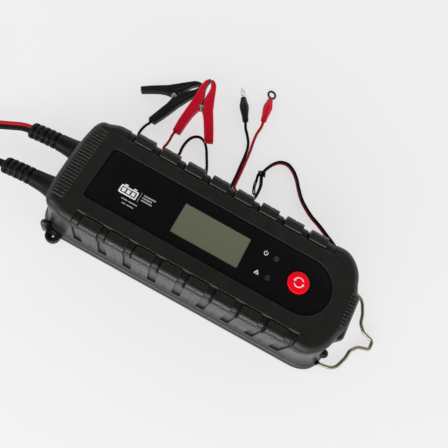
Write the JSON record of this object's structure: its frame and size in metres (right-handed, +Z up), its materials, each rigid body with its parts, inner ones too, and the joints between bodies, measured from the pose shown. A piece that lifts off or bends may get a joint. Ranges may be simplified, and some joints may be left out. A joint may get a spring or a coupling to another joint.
{
  "type": "car battery charger",
  "caption": "Portable plug-in battery charger: long black ribbed case with display panel and red button, wire hanging bail, mains lead, and clamp and ring-terminal accessory leads.",
  "frame": {"origin": "centre of the flat underside of the case, on the surface it stands on", "axes": "+X along the case towards the wire bail, away from the two fixed leads; +Z up through the display panel; +Y towards the side where the accessory leads lie"},
  "size_m": [0.4197, 0.246, 0.0454],
  "materials": {
    "case_black": "satin with a fine grain",
    "tub_black": "semi-gloss",
    "panel_film": "gloss film",
    "seal_rubber": "matt",
    "display_glass": "clear",
    "display_cell": "unlit olive grey",
    "button_red": "satin",
    "lamp_clear": "frosted",
    "lamp_red": "frosted",
    "board_green": "solder mask",
    "ferrite": "ground",
    "tape_yellow": "tape",
    "can_blue": "sleeved can",
    "relay_blue": "moulded",
    "alloy": "extruded",
    "epoxy_black": "moulded",
    "fuse_glass": "clear",
    "steel": "dull nickel",
    "pin_metal": "bright nickel",
    "cable_black": "smooth sheath",
    "cable_red": "smooth sheath",
    "sleeve_black": "soft vinyl",
    "sleeve_red": "soft vinyl"
  },
  "bodies": {
    "charger": {"bottom_shell": "tub_black", "top_cover": "case_black", "case_seal": "seal_rubber", "front_panel": "panel_film", "lcd_window": "display_glass", "lcd_module": "display_cell", "tact_switch": "epoxy_black", "power_lamp": "lamp_clear", "error_lamp": "lamp_red", "display_board": "board_green", "main_board": "board_green", "transformer_core": "ferrite", "transformer_coil": "tape_yellow", "input_capacitor": "can_blue", "output_capacitor": "can_blue", "heatsink": "alloy", "power_transistor": "epoxy_black", "bridge_rectifier": "epoxy_black", "fuse": "fuse_glass", "relay": "relay_blue", "case_screw_1": "steel", "case_screw_2": "steel", "case_screw_3": "steel", "case_screw_4": "steel", "dc_strain_relief": "cable_black", "mains_strain_relief": "cable_black", "mains_cable": "cable_black", "mains_plug": "epoxy_black", "plug_pin_1": "pin_metal", "plug_pin_2": "pin_metal", "dc_wire_red": "cable_red", "dc_wire_black": "cable_black", "dc_connector": "epoxy_black"},
    "button": {"mode_button": "button_red"},
    "bail": {"hanging_bail": "steel"},
    "clamp_lead": {"clamp_connector": "epoxy_black", "clamp_wire_red": "cable_red", "clamp_wire_black": "cable_black", "red_clamp_fixed_sleeve": "sleeve_red", "red_clamp_fixed_jaw": "steel", "red_clamp_rivet": "steel", "red_clamp_spring": "steel", "black_clamp_fixed_sleeve": "sleeve_black", "black_clamp_fixed_jaw": "steel", "black_clamp_rivet": "steel", "black_clamp_spring": "steel"},
    "red_jaw": {"red_clamp_moving_sleeve": "sleeve_red", "red_clamp_moving_jaw": "steel"},
    "black_jaw": {"black_clamp_moving_sleeve": "sleeve_black", "black_clamp_moving_jaw": "steel"},
    "ring_lead": {"ring_connector": "epoxy_black", "ring_wire_red": "cable_red", "ring_wire_black": "cable_black", "ring_terminal_red": "steel", "ring_terminal_black": "steel", "red_boot": "sleeve_red", "black_boot": "sleeve_black", "wire_tie": "cable_black"}
  },
  "joints": [
    {"name": "button_press", "type": "slide", "parent": "charger", "child": "button", "axis": [0, 0, -1], "range_m": [0, 0.0005], "stiffness_N_per_m": 300, "springref_m": -0.001},
    {"name": "bail_fold", "type": "hinge", "parent": "charger", "child": "bail", "pos_m": [0.098, 0, 0.0026], "axis": [0, 1, 0], "range_deg": [0, 180]},
    {"name": "clamp_lead_lift", "type": "slide", "parent": "charger", "child": "clamp_lead", "axis": [0, 0, 1], "range_m": [0, 0.08]},
    {"name": "red_clamp_open", "type": "hinge", "parent": "clamp_lead", "child": "red_jaw", "pos_m": [-0.0524, 0.0942, 0.011], "axis": [0.0732, 0.0841, -0.9938], "range_deg": [0, 26], "stiffness_Nm_per_rad": 0.01, "springref_deg": -17.19},
    {"name": "black_clamp_open", "type": "hinge", "parent": "clamp_lead", "child": "black_jaw", "pos_m": [-0.076, 0.0956, 0.0042], "axis": [0, 0, 1], "range_deg": [0, 26], "stiffness_Nm_per_rad": 0.01, "springref_deg": -17.19},
    {"name": "ring_lead_lift", "type": "slide", "parent": "charger", "child": "ring_lead", "axis": [0, 0, 1], "range_m": [0, 0.08]}
  ]
}
